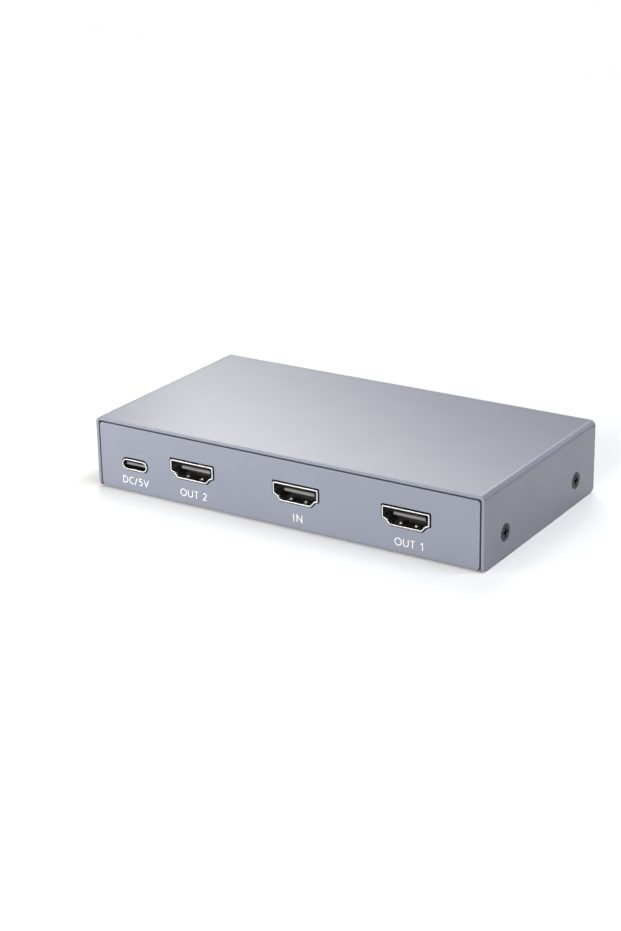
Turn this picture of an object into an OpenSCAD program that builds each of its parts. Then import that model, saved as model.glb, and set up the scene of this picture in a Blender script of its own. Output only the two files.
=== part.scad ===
// Video splitter in a bent-sheet housing: one input, two outputs and a power inlet on one long side.
// Millimetres. X runs along the port panel, Y from the ports to the rear, Z up.
// The origin is the middle of the underside.

/* [Housing] */
// Width over the cover's sides
body_w = 130; // [126:0.5:180]
// Depth from the port panel to the rear panel
body_d = 69.4; // [64:0.2:110]
// Height over the cover's top
body_h = 22.2; // [20:0.2:40]
// Thickness of the sheet
sheet_t = 1; // [0.8:0.1:1.4]
// Inside radius of the base's bends
base_bend_r = 0.4; // [0.2:0.1:1]
// Inside radius of the cover's bends
cover_bend_r = 0.7; // [0.2:0.1:1.2]
// Gap between the cover and the panels that it closes over
seam_gap = 0.4; // [0.2:0.05:0.8]
// Height of the cover's lower edges above the underside
cover_lift = 0.3; // [0.1:0.1:1]
// Radius of the cover's four lower corners
cover_corner_r = 1.3; // [0.5:0.1:4]
// Radius of the panels' lower corners
panel_corner_r = 2.2; // [0.5:0.1:4]
// Radius of the panels' upper corners
panel_top_r = 0.9; // [0.2:0.1:2]
// Length of the notches in the base's corners
notch_len = 2.5; // [1:0.1:5]
// Diameter of the small relief holes at the rear ends of the cover's bends
relief_d = 0.8; // [0.4:0.1:1]
// Distance of the relief holes from the cover's rear edge
relief_inset = 0.95; // [0.8:0.05:2]

/* [Cover screws] */
// Thread diameter
screw_d = 3; // [2:0.25:4]
// Diameter of the countersunk head
screw_head_d = 5; // [4.4:0.1:6]
// Length with the head
screw_len = 5; // [4:0.5:8]
// Height of the screws above the underside
screw_z = 7.6; // [6:0.1:12]
// Distance of the screws from the middle of the side
screw_y = 22.2; // [15:0.1:27]
// Clearance around threads and heads
screw_clear = 0.1; // [0.05:0.05:0.2]
// Length of a cross recess over its wings, as a share of the head
recess_share = 0.56; // [0.4:0.02:0.7]
// Width of a recess wing
recess_w = 0.75; // [0.5:0.05:1]
// Depth of a recess
recess_depth = 0.9; // [0.5:0.1:1.2]
// Width of the base tabs that take the screws
tab_w = 10; // [8:0.5:16]
// Height of a tab over its screw
tab_over = 4; // [3:0.1:6]
// Width of the slits beside a tab
tab_slit = 0.8; // [0.4:0.1:1.5]
// Radius of a tab's upper corners
tab_corner_r = 2; // [0.5:0.1:3]
// Length of the drawn collar behind a tab
collar_len = 1.2; // [0.5:0.1:2]
// Wall of the drawn collar
collar_wall = 0.8; // [0.4:0.1:1.5]

/* [Board] */
// Thickness of the circuit board
board_t = 1.6; // [1:0.1:2.4]
// Gap between the board and the panels
board_gap = 0.6; // [0.3:0.1:2]
// Gap between the board's ends and the screw tips
board_end_gap = 1; // [0.5:0.1:3]
// Radius of the board's corners
board_corner_r = 1.5; // [0.5:0.1:3]
// Height of the standoffs
standoff_h = 5; // [3:0.1:8]
// Diameter of the standoffs
standoff_d = 5.6; // [4.5:0.1:7]
// Diameter of the shank pressed into the base
standoff_shank_d = 4.2; // [3.6:0.1:4.4]
// Distance of the standoffs from the board's ends
standoff_inset = 5; // [3.5:0.1:7]
// Distance of the standoffs from the board's long edges
standoff_edge = 12; // [10:0.1:15]
// Thread diameter of the board screws
board_screw_d = 2.5; // [2:0.1:3]
// Diameter of the board screws' heads
board_screw_head_d = 4.8; // [4:0.1:6]
// Height of the board screws' heads
board_screw_head_h = 1.7; // [1.3:0.1:2.4]
// Length of the board screws under the head
board_screw_len = 5.5; // [4:0.5:7]
// Clearance of holes and slots in the board
board_hole_clear = 0.2; // [0.1:0.05:0.4]

/* [Socket row] */
// Distance of the power inlet from the left side
power_inset = 13.8; // [12.5:0.1:20]
// Distance from the power inlet to the nearest video socket
power_pitch = 20.7; // [17:0.1:25]
// Distance of the last video socket from the right side
last_inset = 24.1; // [20:0.1:30]
// How far the sockets stand out of the panel
socket_proud = 0.3; // [0.1:0.05:0.8]
// Clearance between a socket and its cut-out
cutout_clear = 0.4; // [0.15:0.05:0.6]
// Length of a shell's leg below the board
leg_stub = 0.8; // [0.3:0.1:2]
// Clearance between an insulator and its shell
insert_clear = 0.05; // [0.02:0.01:0.1]

/* [Video sockets] */
// Width of the shell
video_w = 14.95; // [14.5:0.05:15.5]
// Height of the shell
video_h = 5.45; // [5.2:0.05:6]
// Width of the shell's narrow underside
video_foot_w = 10.1; // [9:0.1:11]
// Width of the shell at the shoulders
video_shoulder_w = 12.7; // [12:0.1:13.4]
// Height of the sloping part under the shoulders
video_slope_h = 1.45; // [1:0.05:1.8]
// Rise of the shoulders out to the sides
video_step_h = 0.4; // [0.2:0.05:0.8]
// Outside radius of the shell's corners
video_corner_r = 0.55; // [0.45:0.05:0.7]
// Wall of the shell
video_wall = 0.35; // [0.25:0.05:0.4]
// Length of the shell
video_depth = 11.5; // [10:0.1:14]
// Height of the sockets' middle above the board
video_rise = 3.5; // [3.2:0.1:5]
// Width of the tongue
tongue_w = 10; // [9:0.1:11]
// Thickness of the tongue
tongue_t = 1.2; // [1:0.05:1.5]
// Thickness of the tongue's bevelled tip
tongue_tip_t = 0.75; // [0.4:0.05:0.9]
// Length of the tip's bevel
tongue_bevel = 0.4; // [0.2:0.05:0.8]
// Distance of the tongue's tip from the mouth
tongue_back = 2.3; // [1.5:0.1:3]
// Distance of the insulator's block from the mouth
block_back = 7; // [6:0.1:8.5]
// Thickness of the insulator's heel behind the shell
heel_t = 1; // [0.6:0.1:2]
// Width of the insulator's heel
heel_w = 12.6; // [10:0.1:14]
// Number of contacts in the upper row
contact_count = 10; // [4:1:10]
// Distance between contacts in a row
contact_pitch = 1; // [0.8:0.05:1]
// Width of a contact
contact_w = 0.3; // [0.2:0.02:0.36]
// Thickness of a contact
contact_t = 0.2; // [0.1:0.02:0.25]
// Height of the contacts over the tongue's faces
contact_proud = 0.05; // [0.02:0.01:0.08]
// Length of a contact's soldered tail
contact_tail = 0.9; // [0.5:0.1:1.5]
// Distance of the spring fingers from the socket's middle
finger_x = 2.45; // [2:0.05:3.2]
// Width of a spring finger
finger_w = 1.6; // [1:0.1:2]
// Slot around a spring finger
finger_slot = 0.25; // [0.15:0.05:0.4]
// Distance of a finger's free end from the mouth
finger_tip = 1; // [0.8:0.1:1.2]
// Distance of a finger's root from the mouth
finger_root = 6; // [5:0.1:6.5]
// Rise of a finger's free end into the socket
finger_rise = 0.1; // [0.05:0.01:0.2]
// Distance of a finger's dimple from the mouth
dimple_y = 1.95; // [1.7:0.05:2.4]
// Radius of the dimple
dimple_r = 0.45; // [0.3:0.05:0.5]
// Height of the dimple over the finger
dimple_h = 0.3; // [0.15:0.05:0.3]
// Width of a shell's leg
leg_w = 1.2; // [0.8:0.1:2]
// Distance of a shell's front legs from the mouth
video_leg_front = 4.2; // [3:0.1:5]
// Distance of a shell's rear legs from the mouth
video_leg_rear = 9.4; // [8:0.1:10]

/* [Power inlet] */
// Width of the oval shell
power_w = 8.94; // [8.6:0.02:9.4]
// Height of the oval shell
power_h = 3.26; // [3:0.02:3.6]
// Wall of the oval shell
power_wall = 0.33; // [0.25:0.01:0.4]
// Length of the oval shell
power_depth = 7.35; // [6.5:0.05:9]
// Width of the tongue
power_tongue_w = 6.69; // [6:0.01:7]
// Thickness of the tongue
power_tongue_t = 0.7; // [0.5:0.05:0.9]
// Distance of the tongue's tip from the mouth
power_tongue_back = 0.9; // [0.5:0.1:1.5]
// Distance of the insulator's block from the mouth
power_block_back = 5; // [4:0.1:5.8]
// Thickness of the insulator's heel behind the shell
power_heel_t = 0.8; // [0.5:0.1:1.5]
// Width of the insulator's heel
power_heel_w = 7.4; // [6.2:0.1:8]
// Width of a power contact
power_contact_w = 0.3; // [0.2:0.02:0.4]
// Thickness of a power contact
power_contact_t = 0.12; // [0.08:0.01:0.2]
// Distance between the places that a power contact can take
power_contact_pitch = 0.5; // [0.4:0.01:0.5]
// Distance of the shell's front legs from the mouth
power_leg_front = 3; // [2:0.1:3.5]
// Distance of the shell's rear legs from the mouth
power_leg_rear = 5.5; // [5:0.1:5.8]

/* [Board parts] */
// Side of the splitter chip
chip_w = 14; // [10:0.5:16]
// Thickness of the splitter chip
chip_h = 1.4; // [1:0.1:2]
// Height of the chip over the board
chip_lift = 0.1; // [0.05:0.01:0.2]
// Distance of the splitter chip from the board's front edge
chip_y = 33; // [29:0.5:38]
// Number of leads on a side of the splitter chip
chip_leads = 16; // [8:1:20]
// Distance between the splitter chip's leads
chip_lead_pitch = 0.8; // [0.5:0.05:0.8]
// Width of a chip lead
lead_w = 0.32; // [0.2:0.02:0.4]
// Thickness of a chip lead
lead_t = 0.15; // [0.1:0.01:0.2]
// Length of a lead out to its bend
lead_run = 0.5; // [0.3:0.05:0.8]
// Length of a lead's foot
lead_foot = 0.6; // [0.4:0.05:1]
// Thickness of the thermal pad
pad_t = 0.5; // [0.3:0.1:1]
// Side of the heat sink
sink_w = 20; // [16:0.5:24]
// Height of the heat sink
sink_h = 7; // [5:0.1:8]
// Thickness of the heat sink's floor
sink_floor = 1.8; // [1:0.1:3]
// Number of fins
sink_fins = 7; // [4:1:9]
// Thickness of a fin
sink_fin_t = 1.1; // [0.6:0.1:1.5]
// Length of a small chip's body
small_chip_w = 4.9; // [4:0.1:5.5]
// Width of a small chip's body
small_chip_d = 3.9; // [3:0.1:4.4]
// Thickness of a small chip's body
small_chip_h = 1.5; // [1:0.1:1.8]
// Distance between a small chip's leads
small_lead_pitch = 1.27; // [0.95:0.01:1.27]
// Distance of the memory chips from the splitter chip
memory_x = 20; // [17:0.5:24]
// Side of the inductor
inductor_w = 6; // [5:0.5:8]
// Height of the inductor
inductor_h = 3; // [2:0.1:5]
// Distance of the regulator and its inductor from the filter capacitors
regulator_dx = 10; // [8.5:0.1:11]
// Diameter of a filter capacitor's can
can_d = 6.3; // [4:0.1:6.8]
// Height of a filter capacitor's can
can_h = 5.8; // [4:0.1:8]
// Height of a filter capacitor's base
can_base_h = 0.9; // [0.5:0.1:1.5]
// Rim of a filter capacitor's base around its can
can_rim = 0.15; // [0.05:0.05:0.3]
// Gap between the bases of the filter capacitors
can_gap = 1.4; // [1:0.1:2]
// Distance of the filter capacitors from the power inlet's middle
can_dx = 6; // [5.5:0.1:7]
// Distance of the first filter capacitor from the board's front edge
can_y = 16; // [15:0.5:18]
// Length of the crystal's can
crystal_w = 10.8; // [8:0.1:12]
// Width of the crystal's can
crystal_d = 4; // [3:0.1:4.6]
// Height of the crystal with its flange
crystal_h = 3.6; // [2.5:0.1:5]
// Rim of the crystal's flange
crystal_rim = 0.3; // [0.1:0.05:0.5]
// Thickness of the crystal's flange
crystal_flange_t = 0.6; // [0.3:0.1:1]
// Distance of the crystal from the ceramic capacitors
crystal_gap = 4; // [3.4:0.1:6]
// Length of a protection chip
guard_w = 2.5; // [1.6:0.1:3]
// Width of a protection chip
guard_d = 1; // [0.8:0.1:1.4]
// Height of a protection chip
guard_h = 0.6; // [0.4:0.1:1]
// Distance of the protection chips from the middle of their socket
guard_dx = 3; // [2:0.1:5]
// Distance of the protection chips from the contacts' tails
guard_gap = 2; // [1.2:0.1:3]
// Length of a ceramic chip capacitor
ceramic_w = 1.6; // [1.2:0.1:2]
// Width and height of a ceramic chip capacitor
ceramic_d = 0.8; // [0.5:0.05:1]
// Length of a ceramic capacitor's tinned end
ceramic_end = 0.35; // [0.2:0.05:0.5]
// Ceramic capacitors on each side of the splitter chip
ceramic_count = 6; // [2:1:6]
// Distance between ceramic capacitors
ceramic_pitch = 3; // [2.4:0.1:3.4]

/* [Status lights] */
// Diameter of a light's lens
led_d = 3; // [2:0.1:3.4]
// Length of a light with its dome
led_len = 5.3; // [4.5:0.1:7]
// Width of a light's flange beyond the lens
led_flange = 0.4; // [0.2:0.05:0.6]
// Thickness of a light's flange
led_flange_t = 1; // [0.5:0.1:1.5]
// Depth of a light's tip below the rear panel's face
led_sunk = 0.2; // [0:0.05:0.6]
// Height of the lights above the board
led_rise = 3; // [2.6:0.1:5]
// Clearance around a light
led_clear = 0.15; // [0.05:0.05:0.3]
// Wall of a light's holder
led_wall = 0.8; // [0.5:0.1:1.2]
// Thickness of a light's leads
led_lead_t = 0.5; // [0.4:0.05:0.6]
// Distance between a light's leads
led_lead_pitch = 1.27; // [1:0.01:2]
// Length of the leads out to their bend
led_lead_run = 0.8; // [0.6:0.1:1.5]

/* [Hidden] */
$fn = 48;
// Overlap that keeps cuts and unions clean
slack = 0.5;
// Straight steps in a small rounded corner
arc_steps = 5;
// The two sides of anything that is mirrored
sides = [-1, 1];
bend_outer = base_bend_r + sheet_t;
panel_w = body_w - 2 * (sheet_t + seam_gap);
panel_h = body_h - sheet_t - seam_gap;
plate_d = body_d - 2 * bend_outer;
tab_root = bend_outer + tab_slit;
tab_top = screw_z + tab_over;
head_depth = (screw_head_d - screw_d) / 2;
thread_hole_d = screw_d + 2 * screw_clear;

board_w = body_w - 2 * (screw_len + board_end_gap);
board_front = -body_d / 2 + sheet_t + board_gap;
board_back = body_d / 2 - sheet_t - board_gap;
board_bottom = sheet_t + standoff_h;
board_top = board_bottom + board_t;
standoff_x = board_w / 2 - standoff_inset;
standoff_ys = [board_front + standoff_edge, board_back - standoff_edge];

socket_y = -body_d / 2 - socket_proud;
power_x = power_inset - body_w / 2;
out_2_x = power_x + power_pitch;
out_1_x = body_w / 2 - last_inset;
in_x = (out_2_x + out_1_x) / 2;
video_xs = [out_2_x, in_x, out_1_x];
video_z = board_top + video_rise;
power_z = board_top + power_h / 2;
video_side_z = -video_h / 2 + video_slope_h + video_step_h;
video_leg_x = (video_w - video_wall) / 2;
video_legs = [video_leg_front, video_leg_rear];
power_leg_x = (power_w - power_wall) / 2;
power_legs = [power_leg_front, power_leg_rear];
// Places of the upper power contacts in pitches, the lower ones are mirrored
power_pins = [-1.5, 2.5, 5.5];

chip_place = [in_x, board_front + chip_y];
pad_z = chip_lift + chip_h;
sink_z = pad_z + pad_t;
sink_pitch = (sink_w - sink_fin_t) / (sink_fins - 1);
memory_places = [for (s = sides) chip_place + [s * memory_x, 0]];
ceramic_off = sink_w / 2 + ceramic_d;
can_base_w = can_d + 2 * can_rim;
can_step = [0, can_base_w + can_gap];
can_place = [power_x + can_dx, board_front + can_y];
can_places = [for (i = [0 : 2]) can_place + i * can_step];
regulator_place = can_place + [regulator_dx, 0];
inductor_place = regulator_place + can_step;
crystal_place = chip_place + [0, ceramic_off + ceramic_d + crystal_gap];
guard_y = socket_y + video_depth + heel_t + contact_tail + guard_gap;

led_xs = [power_x, out_2_x, in_x, out_1_x];
led_z = board_top + led_rise;
led_back_y = body_d / 2 - led_sunk - led_len;
led_bend_y = led_back_y - led_lead_run - led_lead_t / 2;
led_hole_d = led_d + 2 * led_clear;
led_flange_d = led_d + 2 * led_flange;
holder_w = led_flange_d + 2 * (led_clear + led_wall);
holder_d = board_back - led_back_y;
holder_h = led_rise + holder_w / 2;

function unit(v) = v / norm(v);
function turn(a, b) = a[0] * b[1] - a[1] * b[0];
function same(p, r) = [for (q = p) r];

// A counter-clockwise outline with every edge moved out by d
function grown(p, d) = let (n = len(p)) [
    for (i = [0 : n - 1])
        let (
            a = unit(p[i] - p[(i + n - 1) % n]),
            b = unit(p[(i + 1) % n] - p[i]),
            na = [a[1], -a[0]],
            nb = [b[1], -b[0]]
        )
        p[i] + d * (na + nb) / (1 + na * nb)
];

// An outline with an arc of radius r[i] at corner i
function rounded(p, r) = let (n = len(p)) [
    for (i = [0 : n - 1])
        let (
            u = unit(p[(i + n - 1) % n] - p[i]),
            v = unit(p[(i + 1) % n] - p[i]),
            half = acos(u * v) / 2,
            middle = p[i] + unit(u + v) * r[i] / sin(half),
            from = p[i] + u * r[i] / tan(half) - middle,
            start = atan2(from[1], from[0]),
            sweep = sign(turn(v, u)) * (180 - 2 * half),
            steps = r[i] > 0 ? arc_steps : 0
        )
        for (k = [0 : steps])
            middle + r[i] * [cos(start + sweep * k / arc_steps), sin(start + sweep * k / arc_steps)]
];

// A rectangle standing on the X axis, with its own radii below and above
function plate_outline(w, h, low_r, high_r) =
    rounded([[-w / 2, 0], [w / 2, 0], [w / 2, h], [-w / 2, h]], [low_r, low_r, high_r, high_r]);

// The keyed outline of a video socket, moved out by d
function video_outline(d) =
    let (
        foot = video_foot_w / 2,
        shoulder = video_shoulder_w / 2,
        side = video_w / 2,
        low = -video_h / 2,
        half = [
            [foot, low],
            [shoulder, low + video_slope_h],
            [side, video_side_z],
            [side, video_h / 2]
        ],
        sharp = concat(half, [for (i = [3 : -1 : 0]) [-half[i][0], half[i][1]]])
    )
    rounded(grown(sharp, d), same(sharp, video_corner_r + min(d, 0)));

// A square with cut corners
function cut_square(w, cut) = let (h = w / 2) [
    [h - cut, -h], [h, cut - h], [h, h - cut], [h - cut, h],
    [cut - h, h], [-h, h - cut], [-h, cut - h], [cut - h, -h]
];

// Stands a drawing up across the housing: drawn right is +Y, drawn up is +Z, thickness along X
module across(w) {
    rotate([90, 0, 90]) linear_extrude(w, center = true) children();
}

// Stands a drawing up facing the ports and gives it a depth along +Y
module inward(d) {
    rotate([90, 0, 0]) mirror([0, 0, 1]) linear_extrude(d) children();
}

// A drawing's depth about the middle plane between the two panels
module lengthwise(d) {
    rotate([90, 0, 0]) linear_extrude(d, center = true) children();
}

module tray(w, h, r) {
    translate([r - w / 2, 0]) square([w - 2 * r, h]);
    translate([-w / 2, r]) square([w, h - r]);
    for (s = sides) translate([s * (w / 2 - r), r]) circle(r);
}

// Section of a sheet bent up at both ends, with the inside radius r
module channel(w, h, r) {
    difference() {
        tray(w, h, r + sheet_t);
        translate([0, sheet_t]) tray(w - 2 * sheet_t, h, r);
    }
}

module oval(w, h) {
    square([w - h, h], center = true);
    for (s = sides) translate([s * (w - h) / 2, 0]) circle(h / 2);
}

// A strip that runs out, bends down and ends in a foot
module bent_lead(run, drop, foot, t) {
    polygon([
        [0, 0], [run, 0], [run, -drop], [run + foot, -drop],
        [run + foot, t - drop], [run + t, t - drop], [run + t, t], [0, t]
    ]);
}

// Two crossed wings sunk into a head whose face is at z = 0
module cross_recess(head) {
    wing = [head * recess_share, recess_w];
    translate([0, 0, -recess_depth]) linear_extrude(recess_depth + slack) {
        square(wing, center = true);
        rotate(90) square(wing, center = true);
    }
}

// Puts a piece at each cover screw, with its own +Z pointing out of the side
module at_cover_screws() {
    for (s = sides, y = [-screw_y, screw_y])
        translate([s * body_w / 2, y, screw_z]) rotate([0, s * 90, 0]) children();
}

module at_standoffs() {
    for (s = sides, y = standoff_ys) translate([s * standoff_x, y, 0]) children();
}

// Base: underside, port panel and rear panel bent from one sheet, with four tabs for the cover screws
module screw_tab() {
    root_x = panel_w / 2 - tab_root - slack;
    intersection() {
        lengthwise(tab_w) difference() {
            channel(panel_w, tab_top, base_bend_r);
            translate([root_x - panel_w, -slack]) square([panel_w, tab_top + 2 * slack]);
        }
        across(panel_w) polygon(plate_outline(tab_w, tab_top, 0, tab_corner_r));
    }
    translate([panel_w / 2 - sheet_t - collar_len, 0, screw_z]) rotate([0, 90, 0])
        cylinder(h = collar_len + sheet_t / 2, d = thread_hole_d + 2 * collar_wall);
}

// Underside between the two bends, notched at its corners and slit beside the tabs
module base_plate() {
    linear_extrude(sheet_t) difference() {
        square([panel_w, plate_d], center = true);
        for (s = sides) {
            for (e = sides)
                translate([s * panel_w / 2, e * plate_d / 2])
                    square([2 * panel_corner_r, 2 * notch_len], center = true);
            for (y = [-screw_y, screw_y])
                translate([s * panel_w / 2, y]) square([2 * tab_root, tab_w + 2 * tab_slit], center = true);
        }
    }
}

module port_cutouts() {
    for (x = video_xs)
        translate([x, -body_d / 2 - slack, video_z])
            inward(sheet_t + 2 * slack) polygon(video_outline(cutout_clear));
    translate([power_x, -body_d / 2 - slack, power_z])
        inward(sheet_t + 2 * slack) oval(power_w + 2 * cutout_clear, power_h + 2 * cutout_clear);
}

module base_chassis() {
    color("slategray") difference() {
        union() {
            difference() {
                intersection() {
                    across(panel_w) channel(body_d, panel_h, base_bend_r);
                    lengthwise(body_d + slack)
                        polygon(plate_outline(panel_w, panel_h, panel_corner_r, panel_top_r));
                }
                cube([body_w, plate_d, 2 * bend_outer], center = true);
            }
            base_plate();
            for (s = sides, y = [-screw_y, screw_y])
                translate([0, y, 0]) mirror([s < 0 ? 1 : 0, 0, 0]) screw_tab();
        }
        port_cutouts();
        at_cover_screws() translate([0, 0, -2 * screw_len]) cylinder(h = 2 * screw_len, d = thread_hole_d);
        at_standoffs() translate([0, 0, -slack])
            cylinder(h = sheet_t + 2 * slack, d = standoff_shank_d + 2 * screw_clear);
        for (x = led_xs)
            translate([x, body_d / 2 - sheet_t - slack, led_z]) rotate([-90, 0, 0])
                cylinder(h = sheet_t + 2 * slack, d = led_hole_d);
    }
}

// Cover: top and two sides bent from one sheet, countersunk for the screws
module bend_relief() {
    across(body_w + slack)
        translate([body_d / 2 - relief_inset, body_h - sheet_t - cover_bend_r]) circle(d = relief_d);
}

module top_cover() {
    side_h = body_h - cover_lift;
    sink_depth = head_depth + slack;
    color("lightsteelblue") difference() {
        intersection() {
            lengthwise(body_d) translate([0, body_h]) mirror([0, 1])
                channel(body_w, side_h, cover_bend_r);
            translate([0, 0, cover_lift]) across(body_w + slack)
                polygon(plate_outline(body_d, side_h + slack, cover_corner_r, 0));
        }
        at_cover_screws() {
            translate([0, 0, -head_depth])
                cylinder(h = sink_depth, d1 = thread_hole_d, d2 = thread_hole_d + 2 * sink_depth);
            translate([0, 0, -sheet_t - slack]) cylinder(h = sheet_t + slack, d = thread_hole_d);
        }
        bend_relief();
    }
}

module cover_screws() {
    color("dimgray") at_cover_screws() difference() {
        union() {
            translate([0, 0, -head_depth]) cylinder(h = head_depth, d1 = screw_d, d2 = screw_head_d);
            translate([0, 0, -screw_len]) cylinder(h = screw_len - head_depth, d = screw_d);
        }
        cross_recess(screw_head_d);
    }
}

module board_standoffs() {
    color("gold") at_standoffs() difference() {
        union() {
            cylinder(h = sheet_t, d = standoff_shank_d);
            translate([0, 0, sheet_t]) cylinder(h = standoff_h, d = standoff_d);
        }
        translate([0, 0, -slack])
            cylinder(h = board_bottom + 2 * slack, d = board_screw_d + 2 * screw_clear);
    }
}

// Board with holes for its screws, for the sockets' legs and for the lights' leads
module leg_slot(x, y, w, t) {
    translate([x, y, board_bottom + board_t / 2])
        cube([t + 2 * board_hole_clear, w + 2 * board_hole_clear, board_t + slack], center = true);
}

module circuit_board() {
    board_d = board_back - board_front;
    color("darkgreen") difference() {
        translate([0, board_front, board_bottom]) linear_extrude(board_t)
            polygon(plate_outline(board_w, board_d, board_corner_r, board_corner_r));
        at_standoffs() translate([0, 0, board_bottom - slack])
            cylinder(h = board_t + 2 * slack, d = board_screw_d + 2 * board_hole_clear);
        for (x = video_xs, s = sides, y = video_legs)
            leg_slot(x + s * video_leg_x, socket_y + y, leg_w, video_wall);
        for (s = sides, y = power_legs)
            leg_slot(power_x + s * power_leg_x, socket_y + y, leg_w, power_wall);
        for (x = led_xs, s = sides)
            leg_slot(x + s * led_lead_pitch / 2, led_bend_y, led_lead_t, led_lead_t);
    }
}

module board_screws() {
    dome_r = board_screw_head_d;
    color("silver") at_standoffs() translate([0, 0, board_top]) difference() {
        union() {
            intersection() {
                cylinder(h = board_screw_head_h, d = board_screw_head_d);
                translate([0, 0, board_screw_head_h - dome_r]) sphere(dome_r);
            }
            translate([0, 0, -board_screw_len]) cylinder(h = board_screw_len, d = board_screw_d);
        }
        translate([0, 0, board_screw_head_h]) cross_recess(board_screw_head_d);
    }
}

// Video socket, drawn about the middle of its mouth
module dimple() {
    ball_r = (dimple_r * dimple_r + dimple_h * dimple_h) / (2 * dimple_h);
    sunk = video_wall / 2;
    intersection() {
        translate([0, 0, dimple_h - ball_r]) sphere(ball_r);
        translate([-ball_r, -ball_r, -sunk]) cube([2 * ball_r, 2 * ball_r, sunk + dimple_h]);
    }
}

// Strip in the shell's floor that slopes into the socket, with a dimple that presses on the plug
module spring_finger() {
    slope = finger_rise / (finger_root - finger_tip);
    translate([0, 0, -video_h / 2]) {
        across(finger_w) polygon([
            [finger_tip, finger_rise], [finger_root, 0], [finger_root + slack, 0],
            [finger_root + slack, video_wall], [finger_root, video_wall],
            [finger_tip, video_wall + finger_rise]
        ]);
        translate([0, dimple_y, video_wall + slope * (finger_root - dimple_y)]) dimple();
    }
}

module video_shell(x) {
    slot_d = finger_root - finger_tip + finger_slot;
    leg_h = video_rise + board_t + leg_stub + video_side_z + slack;
    color("gainsboro") translate([x, socket_y, video_z]) {
        difference() {
            inward(video_depth) polygon(video_outline(0));
            translate([0, -slack, 0]) inward(video_depth + 2 * slack) polygon(video_outline(-video_wall));
            for (s = sides)
                translate([s * finger_x, finger_root - slot_d / 2, 0])
                    cube([finger_w + 2 * finger_slot, slot_d, video_h + slack], center = true);
        }
        for (s = sides, up = [0, 1])
            mirror([0, 0, up]) translate([s * finger_x, 0, 0]) spring_finger();
        for (s = sides, y = video_legs)
            translate([s * video_leg_x, y, video_side_z + slack - leg_h / 2])
                cube([video_wall, leg_w, leg_h], center = true);
    }
}

module contact_row(count, z) {
    start = tongue_back + tongue_bevel + contact_t;
    run = video_depth + heel_t - start;
    for (i = [0 : count - 1])
        translate([(i - (count - 1) / 2) * contact_pitch, start, z])
            across(contact_w) bent_lead(run, z + video_rise, contact_tail, contact_t);
}

module video_contact_set() {
    contact_row(contact_count, tongue_t / 2 + contact_proud - contact_t);
    contact_row(contact_count - 1, -tongue_t / 2 - contact_proud);
}

module video_insulator(x) {
    heel_h = video_rise + video_h / 2 - video_wall;
    color([0.12, 0.12, 0.13]) translate([x, socket_y, video_z]) difference() {
        union() {
            translate([0, block_back, 0]) inward(video_depth - block_back)
                polygon(video_outline(-video_wall - insert_clear));
            translate([-heel_w / 2, video_depth, -video_rise]) cube([heel_w, heel_t, heel_h]);
            across(tongue_w) polygon([
                [tongue_back, -tongue_tip_t / 2], [tongue_back + tongue_bevel, -tongue_t / 2],
                [block_back + slack, -tongue_t / 2], [block_back + slack, tongue_t / 2],
                [tongue_back + tongue_bevel, tongue_t / 2], [tongue_back, tongue_tip_t / 2]
            ]);
        }
        video_contact_set();
    }
}

module video_contacts(x) {
    color("goldenrod") translate([x, socket_y, video_z]) video_contact_set();
}

// Power inlet, drawn about the middle of its mouth
module power_shell() {
    leg_h = power_h / 2 + board_t + leg_stub + power_wall;
    color("gainsboro") translate([power_x, socket_y, power_z]) {
        difference() {
            inward(power_depth) oval(power_w, power_h);
            translate([0, -slack, 0]) inward(power_depth + 2 * slack)
                oval(power_w - 2 * power_wall, power_h - 2 * power_wall);
        }
        for (s = sides, y = power_legs)
            translate([s * power_leg_x, y, power_wall - leg_h / 2])
                cube([power_wall, leg_w, leg_h], center = true);
    }
}

module power_contact_set() {
    start = power_tongue_back + 2 * power_contact_t;
    run = power_depth + power_heel_t - start;
    for (row = sides, pin = power_pins)
        let (
            inner = power_tongue_t / 2 + contact_proud,
            z = row > 0 ? inner - power_contact_t : -inner
        )
        translate([row * pin * power_contact_pitch, start, z]) across(power_contact_w)
            bent_lead(run, z + power_h / 2, contact_tail, power_contact_t);
}

module power_insulator() {
    inset = 2 * (power_wall + insert_clear);
    color([0.12, 0.12, 0.13]) translate([power_x, socket_y, power_z]) difference() {
        union() {
            translate([0, power_block_back, 0]) inward(power_depth - power_block_back)
                oval(power_w - inset, power_h - inset);
            translate([-power_heel_w / 2, power_depth, -power_h / 2])
                cube([power_heel_w, power_heel_t, power_h - power_wall]);
            translate([0, power_tongue_back, 0]) inward(power_block_back - power_tongue_back + slack)
                square([power_tongue_w, power_tongue_t], center = true);
        }
        power_contact_set();
    }
}

module power_contacts() {
    color("goldenrod") translate([power_x, socket_y, power_z]) power_contact_set();
}

module on_board(place) {
    translate([place[0], place[1], board_top]) children();
}

// Splitter chip with leads on four sides, and its cooling
module lead_row(count, pitch, out, rise) {
    for (i = [0 : count - 1])
        translate([(i - (count - 1) / 2) * pitch, out, rise])
            across(lead_w) bent_lead(lead_run, rise, lead_foot, lead_t);
}

module splitter_chip() {
    corner_cut = 0.6;
    color("black") on_board(chip_place) translate([0, 0, chip_lift])
        linear_extrude(chip_h) polygon(cut_square(chip_w, corner_cut));
}

module splitter_chip_leads() {
    color("silver") on_board(chip_place) for (a = [0 : 90 : 270])
        rotate(a) lead_row(chip_leads, chip_lead_pitch, chip_w / 2, chip_lift + chip_h / 2);
}

module thermal_pad() {
    color("lightgray") on_board(chip_place) translate([-chip_w / 2, -chip_w / 2, pad_z])
        cube([chip_w, chip_w, pad_t]);
}

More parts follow.
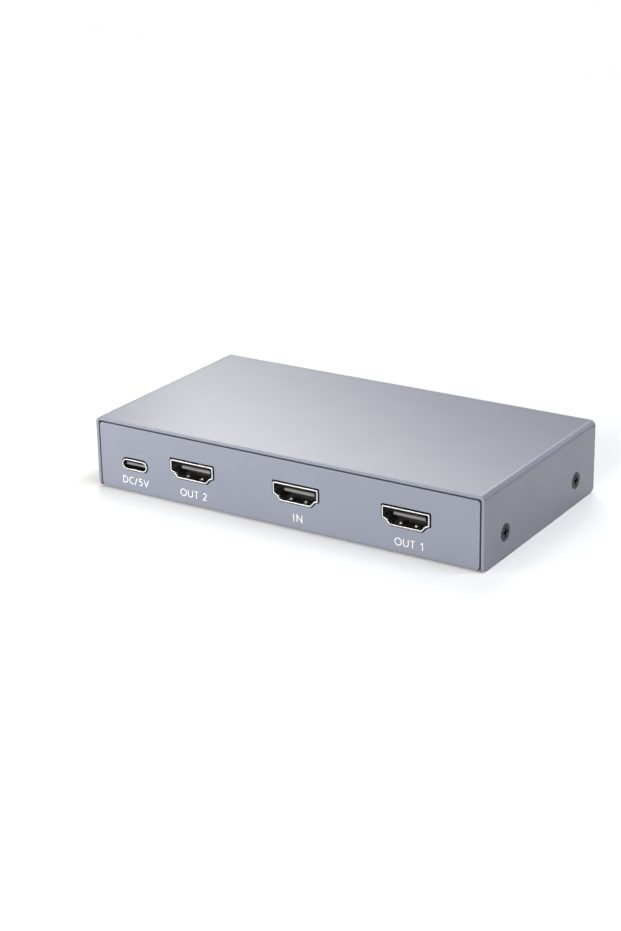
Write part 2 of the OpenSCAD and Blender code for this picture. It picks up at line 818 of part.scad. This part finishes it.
module heat_sink() {
    color("darkgray") on_board(chip_place) translate([0, 0, sink_z]) lengthwise(sink_w) {
        translate([-sink_w / 2, 0]) square([sink_w, sink_floor]);
        for (i = [0 : sink_fins - 1])
            translate([i * sink_pitch - sink_w / 2, 0]) square([sink_fin_t, sink_h]);
    }
}

// Small chips with leads on two sides
module small_chip() {
    color("black") translate([0, 0, chip_lift + small_chip_h / 2])
        cube([small_chip_w, small_chip_d, small_chip_h], center = true);
}

module small_chip_leads() {
    side_leads = 4;
    color("silver") for (a = [0, 180])
        rotate(a) lead_row(side_leads, small_lead_pitch, small_chip_d / 2, chip_lift + small_chip_h / 2);
}

module memory_chips() {
    for (place = memory_places) on_board(place) small_chip();
}

module memory_chip_leads() {
    for (place = memory_places) on_board(place) small_chip_leads();
}

module regulator_chip() {
    on_board(regulator_place) small_chip();
}

module regulator_chip_leads() {
    on_board(regulator_place) small_chip_leads();
}

// Power parts
module power_inductor() {
    corner_cut = 1.2;
    ring_edge = 0.6;
    ring_w = 0.5;
    groove = 0.3;
    ring_d = inductor_w - 2 * ring_edge;
    color([0.25, 0.25, 0.26]) on_board(inductor_place) difference() {
        linear_extrude(inductor_h) polygon(cut_square(inductor_w, corner_cut));
        translate([0, 0, inductor_h - groove]) linear_extrude(groove + slack) difference() {
            circle(d = ring_d);
            circle(d = ring_d - 2 * ring_w);
        }
    }
}

module filter_capacitors() {
    edge_r = 0.6;
    neck = 0.35;
    neck_h = 0.9;
    r = can_d / 2;
    color("lightgray") for (place = can_places)
        on_board(place) translate([0, 0, can_base_h]) rotate_extrude()
            polygon(concat(
                [[0, 0], [r, 0], [r, neck_h], [r - neck, neck_h + neck], [r, neck_h + 2 * neck]],
                [for (k = [0 : arc_steps]) let (a = 90 * k / arc_steps)
                    [r - edge_r + edge_r * cos(a), can_h - edge_r + edge_r * sin(a)]],
                [[0, can_h]]
            ));
}

module capacitor_bases() {
    corner_cut = 1;
    color("black") for (place = can_places)
        on_board(place) linear_extrude(can_base_h) polygon(cut_square(can_base_w, corner_cut));
}

module clock_crystal() {
    color("silver") on_board(crystal_place) {
        linear_extrude(crystal_flange_t) oval(crystal_w + 2 * crystal_rim, crystal_d + 2 * crystal_rim);
        linear_extrude(crystal_h) oval(crystal_w, crystal_d);
    }
}

module protection_chips() {
    color("black") for (x = video_xs, s = sides)
        translate([x + s * guard_dx, guard_y, board_top + guard_h / 2])
            cube([guard_w, guard_d, guard_h], center = true);
}

// Ceramic capacitors in a row along each side of the heat sink
module at_ceramics() {
    on_board(chip_place) for (a = [0 : 90 : 270], i = [0 : ceramic_count - 1])
        rotate(a) translate([(i - (ceramic_count - 1) / 2) * ceramic_pitch, ceramic_off, ceramic_d / 2])
            children();
}

module chip_capacitors() {
    color("tan") at_ceramics() cube([ceramic_w - 2 * ceramic_end, ceramic_d, ceramic_d], center = true);
}

module chip_capacitor_ends() {
    end_x = (ceramic_w - ceramic_end) / 2;
    color("silver") at_ceramics() for (s = sides)
        translate([s * end_x, 0, 0]) cube([ceramic_end, ceramic_d, ceramic_d], center = true);
}

// Status lights, drawn along +Z and laid to face the rear panel
module at_lights() {
    for (x = led_xs) translate([x, led_back_y, led_z]) rotate([-90, 0, 0]) children();
}

module status_leds() {
    color("honeydew") at_lights() {
        cylinder(h = led_flange_t, d = led_flange_d);
        cylinder(h = led_len - led_d / 2, d = led_d);
        translate([0, 0, led_len - led_d / 2]) sphere(led_d / 2);
    }
}

module led_holders() {
    color("black") difference() {
        for (x = led_xs)
            translate([x - holder_w / 2, led_back_y, board_top]) cube([holder_w, holder_d, holder_h]);
        at_lights() {
            translate([0, 0, -slack]) cylinder(h = led_len + 2 * slack, d = led_hole_d);
            translate([0, 0, -slack]) cylinder(h = led_flange_t + slack, d = led_flange_d + 2 * led_clear);
        }
    }
}

module led_leads() {
    lead_h = led_rise + board_t + leg_stub;
    run = led_lead_run + led_lead_t;
    color("silver") for (x = led_xs, s = sides) translate([x + s * led_lead_pitch / 2, 0, led_z]) {
        translate([0, led_back_y - run / 2, 0]) cube([led_lead_t, run, led_lead_t], center = true);
        translate([0, led_bend_y, -lead_h / 2]) cube([led_lead_t, led_lead_t, lead_h], center = true);
    }
}

base_chassis();
top_cover();
cover_screws();
board_standoffs();
circuit_board();
board_screws();
video_shell(in_x);  // video_in_shell
video_insulator(in_x);  // video_in_insulator
video_contacts(in_x);  // video_in_contacts
video_shell(out_1_x);  // video_out_1_shell
video_insulator(out_1_x);  // video_out_1_insulator
video_contacts(out_1_x);  // video_out_1_contacts
video_shell(out_2_x);  // video_out_2_shell
video_insulator(out_2_x);  // video_out_2_insulator
video_contacts(out_2_x);  // video_out_2_contacts
power_shell();
power_insulator();
power_contacts();
splitter_chip();
splitter_chip_leads();
thermal_pad();
heat_sink();
memory_chips();
memory_chip_leads();
regulator_chip();
regulator_chip_leads();
power_inductor();
filter_capacitors();
capacitor_bases();
clock_crystal();
protection_chips();
chip_capacitors();
chip_capacitor_ends();
status_leds();
led_holders();
led_leads();
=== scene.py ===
import math

import bmesh
import bpy
from mathutils import Matrix, Vector


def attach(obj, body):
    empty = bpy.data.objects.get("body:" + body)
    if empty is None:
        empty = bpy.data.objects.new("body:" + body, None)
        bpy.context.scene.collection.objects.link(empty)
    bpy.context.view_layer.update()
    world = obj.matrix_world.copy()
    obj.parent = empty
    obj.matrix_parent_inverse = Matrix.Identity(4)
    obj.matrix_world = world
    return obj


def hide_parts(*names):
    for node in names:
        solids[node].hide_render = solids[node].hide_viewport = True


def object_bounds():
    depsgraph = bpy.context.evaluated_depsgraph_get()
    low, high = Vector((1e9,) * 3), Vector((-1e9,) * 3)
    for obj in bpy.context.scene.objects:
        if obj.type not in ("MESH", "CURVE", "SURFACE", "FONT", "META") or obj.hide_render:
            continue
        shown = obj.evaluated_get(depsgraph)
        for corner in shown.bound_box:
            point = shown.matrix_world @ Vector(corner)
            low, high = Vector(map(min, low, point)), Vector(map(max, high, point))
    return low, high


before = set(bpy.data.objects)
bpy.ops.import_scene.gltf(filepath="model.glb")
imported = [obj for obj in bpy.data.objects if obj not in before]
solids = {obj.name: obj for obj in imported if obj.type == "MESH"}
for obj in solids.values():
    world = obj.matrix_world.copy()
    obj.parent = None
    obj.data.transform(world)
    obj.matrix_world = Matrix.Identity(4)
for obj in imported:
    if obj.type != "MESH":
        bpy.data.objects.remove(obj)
cad_low, cad_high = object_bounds()
mm = 0.001


# Base: underside, port panel and rear panel are one aluminium sheet bent up at its long edges,
# with four drawn and tapped tabs for the cover's screws. It is punched, deburred and bent, then
# blasted and finished in a satin blue-grey.
def deburred(node, name, radius, steps, worked):
    """A copy of a CAD solid that is shown in its place, with its sharp edges rounded off where
    worked() holds for both ends of an edge in mm."""
    weld = 0.0005
    flat_turn, sharp_turn, shade_turn = (math.radians(turn) for turn in (0.2, 35, 50))
    mesh = solids[node].data.copy()
    mesh.name = name
    mesh.materials.clear()
    if "custom_normal" in mesh.attributes:
        mesh.attributes.remove(mesh.attributes["custom_normal"])
    form = bmesh.new()
    form.from_mesh(mesh)
    bmesh.ops.scale(form, vec=(1 / mm, 1 / mm, 1 / mm), verts=form.verts)
    bmesh.ops.remove_doubles(form, verts=form.verts, dist=weld)
    bmesh.ops.dissolve_limit(form, angle_limit=flat_turn, verts=form.verts, edges=form.edges)
    sharp = [e for e in form.edges if e.is_manifold and e.calc_face_angle() > sharp_turn
             and all(worked(v.co) for v in e.verts)]
    bmesh.ops.bevel(form, geom=sharp, offset=radius, offset_type="OFFSET", segments=steps, profile=0.5,
                    affect="EDGES", clamp_overlap=False, loop_slide=False,
                    miter_outer="SHARP", miter_inner="SHARP")
    bmesh.ops.scale(form, vec=(mm, mm, mm), verts=form.verts)
    for face in form.faces:
        face.smooth = True
    form.to_mesh(mesh)
    form.free()
    mesh.set_sharp_from_angle(angle=shade_turn)
    piece = bpy.data.objects.new(name, mesh)
    bpy.context.scene.collection.objects.link(piece)
    flats = piece.modifiers.new("flat_faces", "WEIGHTED_NORMAL")
    flats.keep_sharp = True
    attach(piece, "root")
    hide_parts(node)
    return piece


def two_tones(tree, tones):
    """A node that turns from the first tone to the second over the middle of a noise."""
    ramp = tree.nodes.new("ShaderNodeValToRGB")
    for stop, at, colour in zip(ramp.color_ramp.elements, (0.3, 0.7), tones):
        stop.position = at
        stop.color = (*colour, 1)
    return ramp


def finish(name, tones, cloud, grain, rough, bump, metal=0.0, stretch=(1, 1, 1)):
    """A finish in two close tones that drift over cloud mm, with a grain of its own size in mm,
    roughness between two values and a relief of bump mm."""
    material = bpy.data.materials.new(name)
    material.use_nodes = True
    tree = material.node_tree
    shader = tree.nodes["Principled BSDF"]
    shader.inputs["Metallic"].default_value = metal
    place = tree.nodes.new("ShaderNodeTexCoord")

    def noise(size, stretched, detail):
        sized = tree.nodes.new("ShaderNodeMapping")
        sized.inputs["Scale"].default_value = [s / (size * mm) for s in stretched]
        texture = tree.nodes.new("ShaderNodeTexNoise")
        texture.inputs["Scale"].default_value = 1.0
        texture.inputs["Detail"].default_value = detail
        tree.links.new(place.outputs["Object"], sized.inputs["Vector"])
        tree.links.new(sized.outputs["Vector"], texture.inputs["Vector"])
        return texture

    drift = noise(cloud, (1, 1, 1), 2.0)
    fine = noise(grain, stretch, 4.0)
    tone = two_tones(tree, tones)
    tree.links.new(drift.outputs["Fac"], tone.inputs["Fac"])
    tree.links.new(tone.outputs["Color"], shader.inputs["Base Color"])
    gloss = tree.nodes.new("ShaderNodeMapRange")
    for socket, value in zip(("From Min", "From Max", "To Min", "To Max"), (0.3, 0.7, *rough)):
        gloss.inputs[socket].default_value = value
    tree.links.new(fine.outputs["Fac"], gloss.inputs["Value"])
    tree.links.new(gloss.outputs["Result"], shader.inputs["Roughness"])
    relief = tree.nodes.new("ShaderNodeBump")
    relief.inputs["Distance"].default_value = bump * mm
    tree.links.new(fine.outputs["Fac"], relief.inputs["Height"])
    tree.links.new(relief.outputs["Normal"], shader.inputs["Normal"])
    return material


satin_blue_grey = finish("satin_blue_grey", ((0.165, 0.175, 0.220), (0.172, 0.183, 0.229)),
                         cloud=14, grain=0.16, rough=(0.22, 0.255), bump=0.0005)
satin_blue_grey.node_tree.nodes["Principled BSDF"].inputs["IOR"].default_value = 1.55
panel_out = cad_high.y / mm
near = 0.01
base_sheet = deburred("base_chassis", "base_sheet", radius=0.12, steps=3,
                      worked=lambda c: abs(c.y) > panel_out - near)
base_sheet.data.materials.append(satin_blue_grey)


# Standoffs: four steel posts with a shank that is pressed into the base, zinc plated, and the
# pan-head screws that hold the board down on them.
def coat(material, *nodes):
    """Puts a finish on CAD solids that are shown as they are."""
    for node in nodes:
        solids[node].data.materials.clear()
        solids[node].data.materials.append(material)


zinc_plate = finish("zinc_plate", ((0.56, 0.57, 0.58), (0.66, 0.66, 0.65)),
                    cloud=3, grain=0.12, rough=(0.24, 0.36), bump=0.002, metal=1.0, stretch=(1, 1, 6))
coat(zinc_plate, "board_standoffs", "board_screws")

# Circuit board: glass-fibre laminate under a green solder mask in two drifting tones, with a fine streaky
# relief.
solder_mask = finish("solder_mask", ((0.008, 0.085, 0.03), (0.012, 0.12, 0.045)),
                     cloud=5, grain=0.7, rough=(0.22, 0.34), bump=0.01, stretch=(1, 0.12, 1))
coat(solder_mask, "circuit_board")

# Chips: moulded in black epoxy with a finely eroded face. Their leads are tinned and bent down
# to the board, and so are the other small parts' ends.
black_epoxy = finish("black_epoxy", ((0.018, 0.018, 0.019), (0.027, 0.027, 0.029)),
                     cloud=2, grain=0.06, rough=(0.5, 0.66), bump=0.004)
tin_plate = finish("tin_plate", ((0.66, 0.66, 0.64), (0.76, 0.76, 0.74)),
                   cloud=1.2, grain=0.1, rough=(0.22, 0.38), bump=0.002, metal=1.0)
coat(black_epoxy, "splitter_chip", "memory_chips", "regulator_chip", "protection_chips", "capacitor_bases")
coat(tin_plate, "splitter_chip_leads", "memory_chip_leads", "regulator_chip_leads", "clock_crystal",
     "chip_capacitor_ends", "led_leads")

# Cooling: a soft silicone pad on the splitter chip carries an extruded aluminium heat sink, with
# draw lines along its fins. The filter capacitors' cans are drawn from the same metal.
silicone_pad = finish("silicone_pad", ((0.30, 0.31, 0.33), (0.37, 0.38, 0.40)),
                      cloud=2.5, grain=0.08, rough=(0.62, 0.8), bump=0.004)
drawn_aluminium = finish("drawn_aluminium", ((0.60, 0.61, 0.63), (0.70, 0.71, 0.73)),
                         cloud=6, grain=0.15, rough=(0.26, 0.44), bump=0.004, metal=1.0, stretch=(1, 0.04, 1))
coat(silicone_pad, "thermal_pad")
coat(drawn_aluminium, "heat_sink", "filter_capacitors")

# Power parts and ceramics: a pressed ferrite inductor and small layered ceramic capacitors,
# soldered to the board by their ends.
pressed_ferrite = finish("pressed_ferrite", ((0.05, 0.05, 0.055), (0.085, 0.085, 0.09)),
                         cloud=1.0, grain=0.05, rough=(0.6, 0.8), bump=0.005)
fired_ceramic = finish("fired_ceramic", ((0.36, 0.26, 0.15), (0.46, 0.34, 0.21)),
                       cloud=0.9, grain=0.05, rough=(0.4, 0.55), bump=0.003)
coat(pressed_ferrite, "power_inductor")
coat(fired_ceramic, "chip_capacitors")

# Video sockets: a shell folded from plated brass strip, with spring fingers cut into its floor
# and roof, round a black moulded tongue with gilt contacts along both faces.
bright_nickel = finish("bright_nickel", ((0.80, 0.80, 0.79), (0.88, 0.88, 0.87)),
                       cloud=4, grain=0.1, rough=(0.10, 0.17), bump=0.0006, metal=1.0, stretch=(1, 0.2, 1))


def moulding_painted_lit_at_nose(name, nose_y):
    """Black moulding whose surfaces in front of nose_y mm are painted in greys: painted light where light
    falls on the tongue's nose.
    """
    fade = 0.1
    material = finish(name, ((0.004, 0.004, 0.005), (0.007, 0.007, 0.008)),
                      cloud=2, grain=0.07, rough=(0.6, 0.75), bump=0.002)
    tree = material.node_tree
    shader = tree.nodes["Principled BSDF"]
    black = tree.nodes["Color Ramp"]
    # Painted light: these greys stand for light falling on the tongue's nose
    grey = two_tones(tree, ((0.11, 0.11, 0.1144), (0.14, 0.14, 0.1456)))
    tree.links.new(black.inputs["Fac"].links[0].from_socket, grey.inputs["Fac"])
    along = tree.nodes.new("ShaderNodeSeparateXYZ")
    tree.links.new(tree.nodes["Texture Coordinate"].outputs["Object"], along.inputs["Vector"])
    nose = tree.nodes.new("ShaderNodeMapRange")
    for socket, value in zip(("From Min", "From Max"), (nose_y * mm, (nose_y - fade) * mm)):
        nose.inputs[socket].default_value = value
    tree.links.new(along.outputs["Y"], nose.inputs["Value"])
    painted_lit_nose = tree.nodes.new("ShaderNodeMixRGB")
    tree.links.new(nose.outputs["Result"], painted_lit_nose.inputs["Fac"])
    tree.links.new(black.outputs["Color"], painted_lit_nose.inputs["Color1"])
    tree.links.new(grey.outputs["Color"], painted_lit_nose.inputs["Color2"])
    tree.links.new(painted_lit_nose.outputs["Color"], shader.inputs["Base Color"])
    return material


# The dimples of the spring fingers get a duller, whiter metal: a painted glint where they catch the light
painted_glint_nickel = finish("painted_glint_nickel", ((0.90, 0.89, 0.87), (0.95, 0.94, 0.92)),
                       cloud=0.3, grain=0.05, rough=(0.42, 0.55), bump=0.0005, metal=1.0)
mouth_y = cad_low.y / mm
rim_depth = 0.05
shell_h, shell_wall = 5.45, 0.35
finger_x, finger_lift = 2.45, 0.09
dimple_y, dimple_r = mouth_y + 1.95, 0.46
# The video tongues' noses are painted grey as painted light
video_moulding = moulding_painted_lit_at_nose("video_moulding", mouth_y + 2.5)
gilt = finish("gilt", ((0.80, 0.58, 0.24), (0.88, 0.67, 0.32)),
              cloud=1.0, grain=0.05, rough=(0.14, 0.24), bump=0.0006, metal=1.0)
for socket in ("video_in", "video_out_1", "video_out_2"):
    shell = deburred(socket + "_shell", socket + "_folded_shell", radius=0.06, steps=2,
                     worked=lambda c: c.y < mouth_y + rim_depth)
    shell.data.materials.append(bright_nickel)
    shell.data.materials.append(painted_glint_nickel)
    left, right = (pick(v.co.x for v in shell.data.vertices) / mm for pick in (min, max))
    roof = max(v.co.z for v in shell.data.vertices) / mm
    # Faces on the dimples get the second, whiter metal: a painted glint
    for face in shell.data.polygons:
        at = face.center / mm
        off_x = abs(at.x - (left + right) / 2) - finger_x
        over_floor = shell_h / 2 - abs(at.z - roof + shell_h / 2) - shell_wall
        if math.hypot(off_x, at.y - dimple_y) < dimple_r and over_floor > finger_lift:
            face.material_index = 1
    coat(video_moulding, socket + "_insulator")
    coat(gilt, socket + "_contacts")

# Power inlet: an oval shell drawn from plated steel, with a thin black tongue that has three
# contacts on each face.
inlet_shell = deburred("power_shell", "power_drawn_shell", radius=0.06, steps=2,
                       worked=lambda c: c.y < mouth_y + rim_depth)
inlet_shell.data.materials.append(bright_nickel)
# The power tongue's nose is painted grey as painted light
power_moulding = moulding_painted_lit_at_nose("power_moulding", mouth_y + 1.1)
coat(power_moulding, "power_insulator")
coat(gilt, "power_contacts")

# Status lights: clear epoxy lenses that look out through the rear panel, each in a black nylon
# holder on the board.
clear_epoxy = finish("clear_epoxy", ((0.80, 0.88, 0.84), (0.86, 0.92, 0.89)),
                     cloud=1.5, grain=0.2, rough=(0.08, 0.16), bump=0.001)
clear_epoxy.node_tree.nodes["Principled BSDF"].inputs["Transmission Weight"].default_value = 0.7
coat(clear_epoxy, "status_leds")
coat(black_epoxy, "led_holders")

# Cover: top and two sides bent from one sheet in the same finish as the base. It slides down over
# the base and closes round both panels with a thin seam. Its edges and screw seats are eased.
cover_side = cad_high.x / mm
foot_top = 1.65
seat_low, seat_high = 4.5, 11
cover_sheet = deburred("top_cover", "cover_sheet", radius=0.2, steps=3,
                       worked=lambda c: (abs(c.y) > panel_out - near or c.z < foot_top
                                         or abs(c.x) > cover_side - near and seat_low < c.z < seat_high))
cover_sheet.data.materials.append(satin_blue_grey)

# Cover screws: four countersunk steel screws with a cross recess, in black oxide, drawn up flush
# with the cover's sides.
black_oxide = finish("black_oxide", ((0.012, 0.012, 0.013), (0.022, 0.022, 0.024)),
                     cloud=1.2, grain=0.05, rough=(0.38, 0.5), bump=0.002, metal=0.6)
head_face = cover_side - 0.05
cover_screws = deburred("cover_screws", "cover_screw_set", radius=0.08, steps=2,
                        worked=lambda c: abs(c.x) > head_face)
cover_screws.data.materials.append(black_oxide)

# Port marks: white ink printed on the panel under each socket with an even pen, plain words for
# what goes in and out there.
white_ink = finish("white_ink", ((0.60, 0.61, 0.62), (0.64, 0.65, 0.66)),
                   cloud=0.8, grain=0.08, rough=(0.45, 0.6), bump=0.001)
letter_h = 2.3
letter_gap = 0.3 * letter_h
pen_w = 0.27
pen_h = letter_h - pen_w
ink_t = 0.02
# The line of print stands foot_z over the underside in mid panel and falls slightly to the right
foot_z, foot_fall = 2.86, 0.0035


def bow(x, z, rx, rz, start, end, steps=24):
    """Points along part of an oval, angles in degrees from the right and up."""
    turns = [math.radians(start + (end - start) * i / steps) for i in range(steps + 1)]
    return [(x + rx * math.cos(t), z + rz * math.sin(t)) for t in turns]


# Pen paths of each letter in letter heights, and the letter's width
pen_paths = {
    "D": (0.68, [[(0, 0), (0, 1), (0.2, 1)] + bow(0.2, 0.5, 0.48, 0.5, 84, -84) + [(0.2, 0), (0, 0)]]),
    "C": (0.52, [bow(0.44, 0.5, 0.44, 0.5, 66, 294)]),
    "/": (0.40, [[(0, -0.14), (0.40, 1.02)]]),
    "5": (0.48, [[(0.45, 1), (0.09, 1), (0.06, 0.56)] + bow(0.17, 0.3, 0.32, 0.3, 96, -118)]),
    "V": (0.70, [[(0, 1), (0.35, 0), (0.70, 1)]]),
    "O": (0.87, [bow(0.435, 0.5, 0.435, 0.51, 0, 360)]),
    "U": (0.66, [[(0, 1.06), (0, 0.33)] + bow(0.33, 0.33, 0.33, 0.33, 184, 356)
                 + [(0.66, 0.33), (0.66, 1.06)]]),
    "T": (0.58, [[(0, 1), (0.58, 1)], [(0.29, 1), (0.29, -0.06)]]),
    "2": (0.50, [bow(0.23, 0.74, 0.25, 0.26, 152, -34) + [(0, 0), (0.50, 0)]]),
    "1": (0.34, [[(0, 0.80), (0.30, 0.99)], [(0.30, 1.06), (0.30, -0.06)]]),
    "I": (0.18, [[(0, 1.06), (0, -0.06)]]),
    "N": (0.72, [[(0, -0.06), (0, 1), (0.72, 0), (0.72, 1.06)]]),
    " ": (0.16, []),
}


def pen_stroke(form, path, longest_mitre=0.35):
    """A thin printed line of the pen's width along a path of (x, z) in mm, closed where it ends
    at its start."""
    ring = math.dist(path[0], path[-1]) < 1e-6
    points = [Vector(p) for p in (path[:-1] if ring else path)]
    rows = []
    for i, at in enumerate(points):
        before = points[i - 1] if ring or i else at
        after = points[(i + 1) % len(points)] if ring or i + 1 < len(points) else at
        a = (at - before).normalized() if at != before else (after - at).normalized()
        b = (after - at).normalized() if at != after else a
        side = Vector((-a.y - b.y, a.x + b.x)).normalized()
        side *= pen_w / 2 / max(side.dot(Vector((-a.y, a.x))), longest_mitre)
        rows.append([form.verts.new((q.x * mm, (-panel_out - depth) * mm, q.y * mm))
                     for q, depth in ((at + side, 0), (at - side, 0), (at - side, ink_t), (at + side, ink_t))])
    for i in range(len(rows) if ring else len(rows) - 1):
        p, q = rows[i], rows[(i + 1) % len(rows)]
        for k in range(4):
            form.faces.new((p[k], p[(k + 1) % 4], q[(k + 1) % 4], q[k]))
    if not ring:
        form.faces.new(rows[0])
        form.faces.new(reversed(rows[-1]))


for word, name, middle in (("DC/5V", "mark_power", -51.1), ("OUT 2", "mark_out_2", -30.2),
                           ("IN", "mark_in", 5.8), ("OUT 1", "mark_out_1", 41.85)):
    form = bmesh.new()
    width = sum(pen_paths[c][0] * letter_h for c in word) + letter_gap * (len(word) - 1)
    across, foot = middle - width / 2, foot_z - foot_fall * middle + pen_w / 2
    for c in word:
        advance, paths = pen_paths[c]
        for path in paths:
            pen_stroke(form, [(across + x * letter_h, foot + z * pen_h) for x, z in path])
        across += advance * letter_h + letter_gap
    bmesh.ops.recalc_face_normals(form, faces=form.faces)
    mesh = bpy.data.meshes.new(name)
    form.to_mesh(mesh)
    form.free()
    mark = bpy.data.objects.new(name, mesh)
    bpy.context.scene.collection.objects.link(mark)
    mark.data.materials.append(white_ink)
    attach(mark, "root")

# Floor: a plain white card just under the box, in metres, which ends where the lights still
# reach it in full.
floor_half, floor_drop = 0.65, 2e-5
floor_mesh = bpy.data.meshes.new("floor")
floor_mesh.from_pydata([(x * floor_half, y * floor_half, -floor_drop)
                        for x, y in ((-1, -1), (1, -1), (1, 1), (-1, 1))], [], [(0, 1, 2, 3)])
floor = bpy.data.objects.new("floor", floor_mesh)
bpy.context.scene.collection.objects.link(floor)
floor.data.materials.append(finish("floor_card", ((0.882, 0.872, 0.848), (0.892, 0.882, 0.858)),
                                   cloud=300, grain=2, rough=(0.8, 0.9), bump=0.0))

# Studio: a dim room with a white wall that only shows behind the floor and lights nothing, and
# large soft lights round the box.
world = bpy.data.worlds.new("studio")
bpy.context.scene.world = world
world.use_nodes = True
room = world.node_tree
dim_room = room.nodes["Background"]
dim_room.inputs["Color"].default_value = (1, 1, 1, 1)
dim_room.inputs["Strength"].default_value = 0.01
white_wall = room.nodes.new("ShaderNodeBackground")
white_wall.inputs["Color"].default_value = (1, 1, 1, 1)
seen = room.nodes.new("ShaderNodeLightPath")
wall = room.nodes.new("ShaderNodeMixShader")
room.links.new(seen.outputs["Is Camera Ray"], wall.inputs["Fac"])
room.links.new(dim_room.outputs["Background"], wall.inputs[1])
room.links.new(white_wall.outputs["Background"], wall.inputs[2])
room.links.new(wall.outputs["Shader"], room.nodes["World Output"].inputs["Surface"])


def soft_light(name, azimuth, elevation, width, height, glow, roll=0, distance=2500, tint=(1, 1, 1)):
    """A rectangular soft light that faces the box, azimuth clockwise from the rear, sizes in mm,
    with the given brightness and tint of its face."""
    lamp = bpy.data.lights.new(name, "AREA")
    lamp.shape = "RECTANGLE"
    lamp.size, lamp.size_y = width * mm, height * mm
    lamp.energy = math.pi * lamp.size * lamp.size_y * glow
    lamp.color = tint
    light = bpy.data.objects.new(name, lamp)
    a, e, r = math.radians(azimuth), math.radians(elevation), math.radians(roll)
    out = Vector((math.sin(a) * math.cos(e), math.cos(a) * math.cos(e), math.sin(e)))
    wide = Vector((0, 0, 1)).cross(out).normalized()
    tall = out.cross(wide)
    rolled = (wide * math.cos(r) + tall * math.sin(r), tall * math.cos(r) - wide * math.sin(r), out)
    light.matrix_world = Matrix.Translation(out * distance * mm) @ Matrix(rolled).transposed().to_4x4()
    light.visible_camera = False
    bpy.context.scene.collection.objects.link(light)


warm, cool = (1.0, 0.985, 0.95), (0.95, 0.99, 1.08)
soft_light("rear_left_light", azimuth=-30, elevation=34.6, width=980, height=1320, roll=60, glow=4.9,
           tint=(1.0, 0.985, 0.96))
soft_light("rear_light", azimuth=20.5, elevation=21, width=1720, height=750, roll=33, glow=1.8)
soft_light("rear_middle_light", azimuth=-8, elevation=32, width=700, height=700, glow=1.5)
soft_light("left_light", azimuth=-58, elevation=30, width=900, height=900, glow=1.4)
soft_light("top_light", azimuth=-32, elevation=58, width=900, height=900, glow=3.2)
soft_light("right_light", azimuth=82, elevation=66, width=1890, height=700, roll=-34, glow=11.1, tint=cool)
soft_light("front_light", azimuth=184.7, elevation=10.5, width=2230, height=1280, roll=43, glow=8.7, tint=warm)
soft_light("front_left_light", azimuth=218, elevation=12, width=225, height=225, distance=450, glow=8.6,
           tint=warm)

# Camera: stands where the photograph was taken from, to the right of the ports and above them,
# with the directions to the right and up in its picture.
view = bpy.data.cameras.new("camera")
view.sensor_fit = "VERTICAL"
view.sensor_height = 36
view.lens = 79.237
view.clip_start, view.clip_end = 0.01, 20
camera = bpy.data.objects.new("camera", view)
bpy.context.scene.collection.objects.link(camera)
eye = Vector((297.474, -483.542, 224.849))
across_view = Vector((0.84580, 0.53322, -0.01712))
up_view = Vector((-0.17717, 0.31102, 0.93374))
back_view = across_view.cross(up_view)
turned = Matrix((across_view, up_view, back_view)).transposed().to_4x4()
camera.matrix_world = Matrix.Translation(eye * mm) @ turned
bpy.context.scene.camera = camera
bpy.context.scene.view_settings.view_transform = "Standard"
